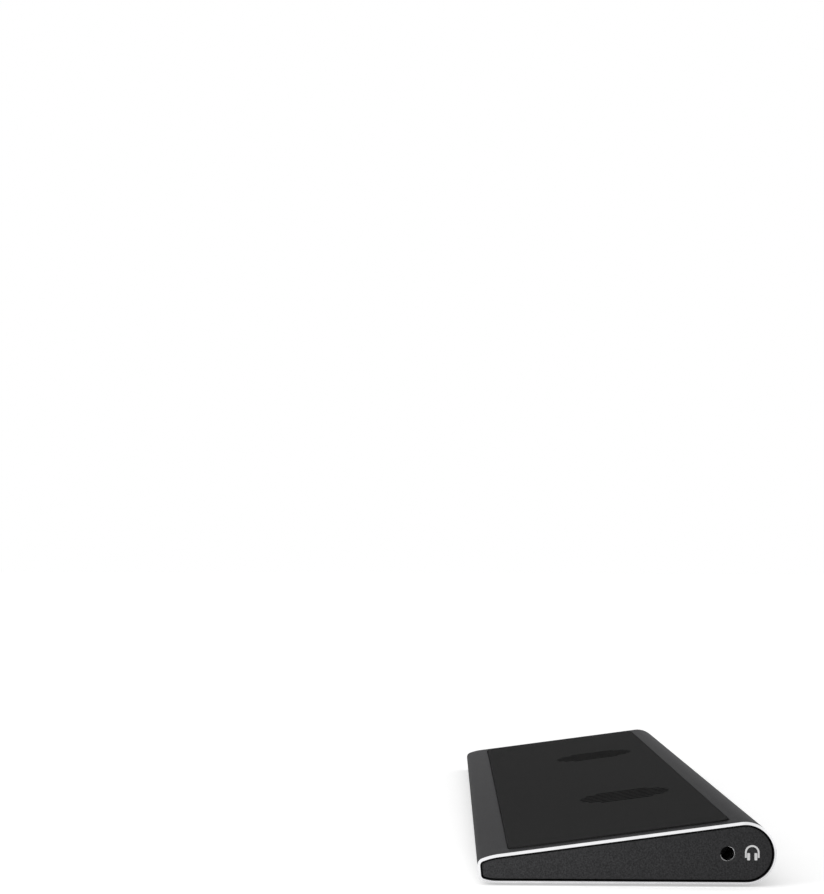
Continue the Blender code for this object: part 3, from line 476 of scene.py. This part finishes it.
anodised = grained("black_anodised", (0.045, 0.045, 0.047), 0.36, metallic=0.5, specular=0.0,
                   grain=0.25 * MM, spread=0.05, relief=0.10, tint=0.30)
bright_cut = grained("bright_cut_aluminium", (0.74, 0.74, 0.75), 0.28, metallic=1.0,
                     grain=0.15 * MM, spread=0.03, relief=0.05)
silicone = grained("black_silicone", (0.014, 0.014, 0.014), 0.90, specular=0.02,
                   grain=0.45 * MM, spread=0.35, relief=0.4, speckled=True)
plate_grey = grained("dark_grey_plate", (0.023, 0.023, 0.024), 0.5, specular=0.12,
                     grain=0.40 * MM, spread=0.5, relief=0.25, speckled=True)
mark_print = grained("pale_print", (0.60, 0.60, 0.60), 0.55, specular=0.4,
                     grain=0.2 * MM, spread=0.05, relief=0.1)
FINISHES = {
    "sleeve": anodised,
    "top_pad": silicone,
    "feet": grained("black_rubber", (0.014, 0.014, 0.014), 0.85, specular=0.2,
                    grain=0.5 * MM, spread=0.2, relief=0.3),
    "end_plates": plate_grey,
    "moulded_plastic": grained("black_moulding", (0.014, 0.014, 0.014), 0.6, specular=0.4),
    "screws": grained("satin_steel", (0.42, 0.42, 0.43), 0.32, metallic=1.0,
                      grain=0.1 * MM, spread=0.05, relief=0.1),
    "boards": board_finish(),
    "chips": grained("chip_moulding", (0.016, 0.016, 0.017), 0.5, specular=0.4, grain=0.2 * MM),
    "insulators": grained("insulator", (0.012, 0.012, 0.013), 0.5, specular=0.4, grain=0.2 * MM),
    "socket_metal": grained("plated_steel", (0.62, 0.62, 0.63), 0.27, metallic=1.0,
                            grain=0.2 * MM, spread=0.04, relief=0.06),
    "button": grained("button_black", (0.024, 0.024, 0.025), 0.42, specular=0.4,
                      grain=0.25 * MM, spread=0.1, relief=0.12),
    "light_pipe": grained("frosted_clear", (0.80, 0.83, 0.86), 0.3,
                          grain=0.2 * MM, spread=0.04, relief=0.08),
    "connectors": grained("natural_nylon", (0.70, 0.69, 0.64), 0.5, specular=0.4,
                          grain=0.3 * MM, spread=0.05),
    "ribbon": grained("ribbon_film", (0.42, 0.42, 0.43), 0.4,
                      grain=0.6 * MM, spread=0.15, relief=0.3, stretch=(1, 20, 1)),
    "fan_plastic": grained("fan_moulding", (0.035, 0.035, 0.036), 0.5, specular=0.4),
    "gaskets": grained("foam", (0.022, 0.022, 0.022), 0.95, specular=0.1, spread=0.3, relief=0.6),
    "bushes": grained("sintered_bronze", (0.55, 0.38, 0.16), 0.4, metallic=1.0, grain=0.15 * MM),
    "stators": grained("copper_windings", (0.60, 0.27, 0.12), 0.35, metallic=1.0,
                       grain=0.3 * MM, spread=0.2, relief=0.4, stretch=(1, 1, 12)),
    "leads": grained("lead_jacket", (0.016, 0.016, 0.016), 0.6, specular=0.3, grain=0.3 * MM),
}
gold = grained("contact_gold", (0.83, 0.62, 0.25), 0.3, metallic=1.0,
               grain=0.15 * MM, spread=0.05, relief=0.05)


def dress_solids():
    """Give every solid the node material of its slot."""
    slots = {part["node"]: part["material_slot"] for part in frame["record"]["subparts"]}
    for name, solid in frame["nodes"].items():
        solid.data.materials.clear()
        solid.data.materials.append(FINISHES[slots[name]])


# Pieces
def build_sleeve():
    """The sleeve, with fine arcs, bright end chamfers and round-ended vents."""
    outer, edge = wedge_outline(0), wedge_outline(CHAMFER)
    seat, bore = wedge_outline(END_LAND), wedge_outline(WALL)
    bright_bands = (1, 0, 0, 0, 0, 0, 0, 0, 1, 0)  # 1 for the chamfers, which take the second finish

    def body(bm):
        right_half = [(outer, end_x(1, CHAMFER)), (edge, end_x(1, 0)), (seat, end_x(1, 0)),
                      (seat, end_x(1, SEAT_DEPTH)), (bore, end_x(1, SEAT_DEPTH))]
        left_half = [(outline, -x) for outline, x in reversed(right_half)]
        add_rings(bm, right_half + left_half, ALONG_X, True, bright_bands)

    def ports(bm):
        for y, height in PORTS:
            add_prism(bm, circle(y, above_base(height), PORT_RADIUS, SMALL_CIRCLE_SIDES),
                      end_x(-1, SEAT_DEPTH), end_x(1, SEAT_DEPTH), ALONG_X)

    def recesses(bm):
        add_prism(bm, pad_outline(GAP), -PAD_RECESS, PAST, pad_frame())
        for y in FEET.values():
            add_prism(bm, pill(0, y, *grown(FOOT_SIZE, GAP)), -PAST, FOOT_DROP + FOOT_RECESS)

    def openings(bm):
        for x in FAN_X:
            add_prism(bm, circle(0, 0, INTAKE_RADIUS), -WALL - PAST, PAST, top_frame(x, FAN_Y))
            for i in range(VENT_COUNT):
                middle = x + (i - (VENT_COUNT - 1) / 2) * VENT_PITCH
                height = above_base((VENT_LOW + VENT_HIGH) / 2)
                slot = pill(middle, height, VENT_WIDTH, VENT_HIGH - VENT_LOW)
                add_prism(bm, slot, DEPTH / 2 - VENT_REACH, DEPTH / 2 + PAST, ALONG_Y)
        for side in (1, -1):
            for y, height in PORTS:
                add_prism(bm, circle(y, above_base(height), PORT_HOLE_RADIUS, TINY_CIRCLE_SIDES),
                          end_x(side, SEAT_DEPTH - PAST), end_x(side, PORT_HOLE_DEPTH), ALONG_X)

    sleeve = mesh_object("sleeve_shell", body, (anodised, bright_cut))
    apply_boolean(sleeve, ports, "UNION")
    apply_boolean(sleeve, recesses, "DIFFERENCE")
    apply_boolean(sleeve, openings, "DIFFERENCE")
    smooth(sleeve, SLEEVE_SMOOTH_ANGLE)
    place(sleeve, "base", "sleeve", "sleeve")


def pad_outline(margin):
    """Outline of the top pad in the top plane, larger by a margin."""
    slope_length = (PAD_REAR - PAD_FRONT) / math.cos(WEDGE_ANGLE)
    return rectangle(0, 0, *grown((PAD_LENGTH, slope_length), margin), PAD_CORNER + margin)


def pad_frame():
    """The frame at the middle of the top pad."""
    return top_frame(0, (PAD_FRONT + PAD_REAR) / 2)


def rolled_rings(outline_at, bottom, top, edge):
    """Rings of a slab with a quarter-round top edge; outline_at gives its outline for a margin."""
    rolled = [(outline_at(-inward), top - drop) for inward, drop in quarter_round(edge, ROLL_STEPS)]
    return [(outline_at(0), bottom), *rolled]


def build_top_pad():
    """The silicone pad with its rolled edge and slits."""

    def slits(bm):
        for x in FAN_X:
            for i in range(-SLITS_EACH_SIDE, SLITS_EACH_SIDE + 1):
                across = i * SLIT_PITCH
                length = 2 * math.sqrt(SLIT_FIELD_RADIUS ** 2 - across ** 2)
                add_prism(bm, pill(across, 0, SLIT_WIDTH, length), -PAD_RECESS - PAST, PAD_PROUD + PAST,
                          top_frame(x, FAN_Y))

    rings = rolled_rings(pad_outline, -PAD_RECESS + GAP, PAD_PROUD, PAD_EDGE)
    pad = mesh_object("top_pad_silicone", lambda bm: add_rings(bm, rings, pad_frame()), (silicone,))
    apply_boolean(pad, slits, "DIFFERENCE")
    smooth(pad)
    place(pad, "base", "top_pad", "top_pad")


def build_feet():
    """The rubber strips, with rolled lower edges."""
    upside_down = Matrix.Rotation(math.pi, 4, "X")
    for name, y in FEET.items():
        rings = rolled_rings(lambda margin: pill(0, -y, *grown(FOOT_SIZE, margin)),
                             -(FOOT_DROP + FOOT_RECESS - GAP), 0, FOOT_EDGE)
        foot = mesh_object(f"{name}_rubber", lambda bm: add_rings(bm, rings, upside_down),
                           (FINISHES["feet"],))
        smooth(foot)
        place(foot, "base", "feet", name)


def plate_rings(side):
    """Rings of an end plate with a small round on its front edge."""
    rings = [(wedge_outline(PLATE_MARGIN), end_x(side, PLATE_BACK))]
    for inward, drop in quarter_round(PLATE_EDGE, PLATE_ROLL_STEPS):
        rings.append((wedge_outline(PLATE_MARGIN + inward), end_x(side, PLATE_FRONT + drop)))
    return rings


def hub_outlines(margin):
    """Outlines in Y and Z of the hub end's openings, larger by a margin."""
    usb_a_middle = above_base(BOARD_TOP + USB_A_SIZE[1] / 2)
    usb_c_middle = above_base(BOARD_TOP + USB_C_SIZE[1] / 2)
    button_middle = above_base(BUTTON_HEIGHT)
    outlines = [rectangle(y, usb_a_middle, *grown(USB_A_SIZE, margin), USB_A_CORNER + margin)
                for y in USB_A_Y.values()]
    outlines.append(pill(USB_C_Y, usb_c_middle, *grown(USB_C_SIZE, margin)))
    outlines.append(pill(BUTTON_Y, button_middle, *grown(BUTTON_SIZE, margin)))
    outlines.append(circle(LIGHT_Y, button_middle, LIGHT_RADIUS + margin, SMALL_CIRCLE_SIDES))
    return outlines


def build_end_plates():
    """The trim plates, with their socket openings."""
    jack_hole = circle(JACK_Y, above_base(JACK_HEIGHT), JACK_PLATE_RADIUS)
    ends = (("right_end_plate", 1, [jack_hole]), ("left_end_plate", -1, hub_outlines(GAP)))
    for name, side, outlines in ends:
        through = (end_x(side, PLATE_FRONT - PAST), end_x(side, PLATE_BACK + PAST))

        def holes(bm):
            for outline in outlines:
                add_prism(bm, outline, *through, ALONG_X)

        plate = mesh_object(f"{name}_trim", lambda bm: add_rings(bm, plate_rings(side), ALONG_X),
                            (plate_grey,))
        apply_boolean(plate, holes, "DIFFERENCE")
        smooth(plate)
        place(plate, "base", "end_plates", name)


def build_jack_ferrule():
    """The headset socket's metal ferrule, whose lip shows inside the plate's hole."""
    radii = (JACK_LIP_RADIUS, JACK_BORE_RADIUS + JACK_MOUTH_FLARE, JACK_BORE_RADIUS)
    lip, mouth, bore = [circle(JACK_Y, above_base(JACK_HEIGHT), radius) for radius in radii]
    front, back = end_x(1, JACK_LIP_FRONT), end_x(1, JACK_FERRULE_BACK)
    throat = front - JACK_MOUTH_DEPTH
    rings = [(lip, back), (lip, front), (mouth, front), (bore, throat), (bore, back)]
    ferrule = mesh_object("audio_jack_ferrule_lip", lambda bm: add_rings(bm, rings, ALONG_X, True),
                          (FINISHES["socket_metal"],))
    smooth(ferrule)
    place(ferrule, "base", "socket_metal", "audio_jack_ferrule")


def build_headset_mark():
    """A plain headphone pictogram beside the headset socket: a band with two legs, and two ear pads."""
    back, front = end_x(1, PLATE_FRONT), end_x(1, PLATE_FRONT - MARK_PROUD)
    inner_radius = HEADSET_BAND_RADIUS - HEADSET_STROKE
    pad_inner, pad_outer = HEADSET_PAD
    pad_low, pad_high = HEADSET_PAD_HEIGHTS

    def arch(radius):
        turns = [math.pi * i / ARCH_STEPS for i in range(ARCH_STEPS + 1)]
        curve = [(radius * math.cos(turn), radius * math.sin(turn)) for turn in turns]
        return [(radius, -HEADSET_LEG), *curve, (-radius, -HEADSET_LEG)]

    def mark(bm):
        to_plate = Matrix.Translation((0, HEADSET_MARK_Y, above_base(HEADSET_MARK_HEIGHT))) @ ALONG_X
        add_prism(bm, arch(HEADSET_BAND_RADIUS) + arch(inner_radius)[::-1], back, front, to_plate)
        for hand in (1, -1):
            pad = rectangle(hand * (pad_inner + pad_outer) / 2, (pad_low + pad_high) / 2,
                            pad_outer - pad_inner, pad_high - pad_low, HEADSET_PAD_CORNER)
            add_prism(bm, pad, back, front, to_plate)

    piece = mesh_object("headset_mark", mark, (mark_print,))
    place(piece, "base", "end_plates")


def build_button():
    """The fan button with a soft front edge."""
    height = above_base(BUTTON_HEIGHT)
    front, flange_front, flange_back = BUTTON_STATIONS

    def cap(margin):
        return pill(BUTTON_Y, height, *grown(BUTTON_SIZE, margin))

    flange = pill(BUTTON_Y, height, *BUTTON_FLANGE)
    stem = pill(BUTTON_Y, height, *BUTTON_STEM)
    stations = [(stem, BUTTON_STEM_END), (stem, flange_back), (flange, flange_back),
                (flange, flange_front), (cap(0), flange_front)]
    for inward, drop in quarter_round(BUTTON_EDGE, ROLL_STEPS):
        stations.append((cap(-inward), front + drop))
    rings = [(outline, end_x(-1, depth)) for outline, depth in stations]
    button = mesh_object("fan_button_cap_moulding", lambda bm: add_rings(bm, rings, ALONG_X),
                         (FINISHES["button"],))
    smooth(button)
    place(button, "fan_button_cap", "button", "fan_button")


def build_fan_mark():
    """A plain three-bladed fan pictogram on the button."""
    face = BUTTON_STATIONS[0]
    back, front = end_x(-1, face), end_x(-1, face - MARK_PROUD)
    to_button = Matrix.Translation((0, BUTTON_Y, above_base(BUTTON_HEIGHT)))

    def mark(bm):
        hub = circle(0, 0, FAN_MARK_HUB, TINY_CIRCLE_SIDES)
        add_prism(bm, hub, back, front, to_button @ ALONG_X)
        for i in range(FAN_MARK_BLADES):
            turn = Matrix.Rotation(2 * math.pi * i / FAN_MARK_BLADES, 4, "X")
            blade = pill(FAN_MARK_SET, FAN_MARK_SWEEP, *FAN_MARK_BLADE)
            add_prism(bm, blade, back, front, to_button @ turn @ ALONG_X)

    piece = mesh_object("fan_mark", mark, (mark_print,))
    place(piece, "fan_button_cap", "button")


def build_contacts():
    """Gold contacts: four under each USB-A tongue, and a row on both faces of the USB-C tongue."""
    usb_a_range = [end_x(-1, depth) for depth in USB_A_CONTACT_DEPTHS]
    usb_c_range = [end_x(-1, depth) for depth in USB_C_CONTACT_DEPTHS]

    def usb_a(bm, y):
        height = above_base(BOARD_TOP + USB_A_CONTACT_HEIGHT)
        for across in USB_A_CONTACTS:
            strip = rectangle(y + across, height, *USB_A_CONTACT, USB_A_CONTACT_CORNER)
            add_prism(bm, strip, *usb_a_range, ALONG_X)

    def usb_c(bm):
        middle = above_base(BOARD_TOP + USB_C_SIZE[1] / 2)
        for i in range(USB_C_CONTACT_COUNT):
            across = (i - (USB_C_CONTACT_COUNT - 1) / 2) * USB_C_CONTACT_PITCH
            for face in (1, -1):
                height = middle + face * (USB_C_TONGUE_HALF + USB_C_CONTACT[1] / 2)
                strip = rectangle(USB_C_Y + across, height, *USB_C_CONTACT, USB_C_CONTACT_CORNER)
                add_prism(bm, strip, *usb_c_range, ALONG_X)

    for name, y in USB_A_Y.items():
        piece = mesh_object(f"usb_a_{name}_contacts", lambda bm: usb_a(bm, y), (gold,))
        place(piece, "base", "socket_metal")
    piece = mesh_object("usb_c_contacts", usb_c, (gold,))
    place(piece, "base", "socket_metal")


# Stage, light and camera
def ray_switch(tree):
    """1 for rays from the camera, from reflections and through glass, 0 for light on the object."""
    path = tree.nodes.new("ShaderNodeLightPath")
    first = tree.nodes.new("ShaderNodeMath")
    second = tree.nodes.new("ShaderNodeMath")
    first.operation = second.operation = "MAXIMUM"
    tree.links.new(path.outputs["Is Camera Ray"], first.inputs[0])
    tree.links.new(path.outputs["Is Glossy Ray"], first.inputs[1])
    tree.links.new(first.outputs[0], second.inputs[0])
    tree.links.new(path.outputs["Is Transmission Ray"], second.inputs[1])
    return second.outputs[0]


def build_world():
    """White surroundings, dimmer as a light than they look."""
    world = bpy.data.worlds.new("studio")
    world.use_nodes = True
    bpy.context.scene.world = world
    tree = world.node_tree
    strength = tree.nodes.new("ShaderNodeMapRange")
    strength.inputs["To Min"].default_value = WORLD_LIGHT
    strength.inputs["To Max"].default_value = WORLD_LOOK
    tree.links.new(ray_switch(tree), strength.inputs["Value"])
    background = tree.nodes["Background"]
    background.inputs["Color"].default_value = (1, 1, 1, 1)
    tree.links.new(strength.outputs["Result"], background.inputs["Strength"])


def build_floor():
    """A plain pale floor that keeps the shadow."""
    made, tree, principled = shader("pale_floor", FLOOR_ROUGHNESS[1], specular=0.0)
    field = noise(tree, FLOOR_GRAIN, BROAD_DETAIL)
    vary_color(tree, principled, field, *FLOOR_COLORS)
    vary_roughness(tree, principled, field, *FLOOR_ROUGHNESS)
    principled.inputs["Emission Color"].default_value = (1, 1, 1, 1)
    glow = tree.nodes.new("ShaderNodeMath")
    glow.operation = "MULTIPLY"
    glow.inputs[1].default_value = FLOOR_GLOW
    tree.links.new(ray_switch(tree), glow.inputs[0])
    tree.links.new(glow.outputs[0], principled.inputs["Emission Strength"])
    corners = [(-FLOOR_HALF, -FLOOR_HALF), (FLOOR_HALF, -FLOOR_HALF),
               (FLOOR_HALF, FLOOR_HALF), (-FLOOR_HALF, FLOOR_HALF)]

    def sheet(bm):
        bm.faces.new([bm.verts.new((x, y, FLOOR_HEIGHT)) for x, y in corners])

    floor = mesh_object("floor", sheet, (made,))


def add_sun(name, direction, strength, softness):
    """Add a soft distant lamp that shines from a direction; softness is its width in degrees."""
    lamp = bpy.data.lights.new(name, "SUN")
    lamp.energy = strength
    lamp.angle = math.radians(softness)
    made = bpy.data.objects.new(name, lamp)
    made.rotation_euler = Vector(direction).to_track_quat("Z", "Y").to_euler()
    bpy.context.scene.collection.objects.link(made)


def add_panel(name, location, target, size, power):
    """Add a soft square lamp that faces a target and doesn't show itself."""
    lamp = bpy.data.lights.new(name, "AREA")
    lamp.energy = power
    lamp.size = size
    made = bpy.data.objects.new(name, lamp)
    made.location = location
    made.rotation_euler = (Vector(location) - Vector(target)).to_track_quat("Z", "Y").to_euler()
    made.visible_camera = False
    made.visible_glossy = False
    bpy.context.scene.collection.objects.link(made)


def build_lights():
    """A key from above and the nose side, a kicker from the far rear, a low panel at the audio end's nose."""
    add_sun("key", direction=(0.3, -0.8, 0.9), strength=0.4, softness=90)
    add_sun("kicker", direction=(-1.0, 0.9, 0.45), strength=0.6, softness=110)
    add_panel("panel", location=(0.27, -0.11, 0.03), target=(0.165, -0.03, 0.004), size=0.08, power=0.2)


def build_camera():
    """The photograph's camera: it looks along the bar from beyond the audio end."""
    data = bpy.data.cameras.new("camera")
    data.sensor_width = SENSOR
    data.lens = FOCAL_PIXELS / IMAGE_SIZE[1] * SENSOR
    data.clip_start, data.clip_end = CAMERA_CLIP
    camera = bpy.data.objects.new("camera", data)
    bpy.context.scene.collection.objects.link(camera)
    camera.location = (WIDTH / 2 + CAMERA_DISTANCE, CAMERA_Y, CAMERA_HEIGHT)
    yaw = math.atan((VANISHING_POINT[0] - IMAGE_SIZE[0] / 2) / FOCAL_PIXELS)
    pitch = math.atan((VANISHING_POINT[1] - IMAGE_SIZE[1] / 2) / FOCAL_PIXELS)
    forward = Vector((-math.cos(yaw) * math.cos(pitch), -math.sin(yaw) * math.cos(pitch), math.sin(pitch)))
    turn = forward.to_track_quat("-Z", "Y").to_matrix() @ Matrix.Rotation(CAMERA_ROLL, 3, "Z")
    camera.rotation_euler = turn.to_euler()
    bpy.context.scene.camera = camera


dress_solids()
build_sleeve()
build_top_pad()
build_feet()
build_end_plates()
build_jack_ferrule()
build_headset_mark()
build_button()
build_fan_mark()
build_contacts()
build_world()
build_floor()
build_lights()
build_camera()
bpy.context.scene.view_settings.view_transform = "Standard"
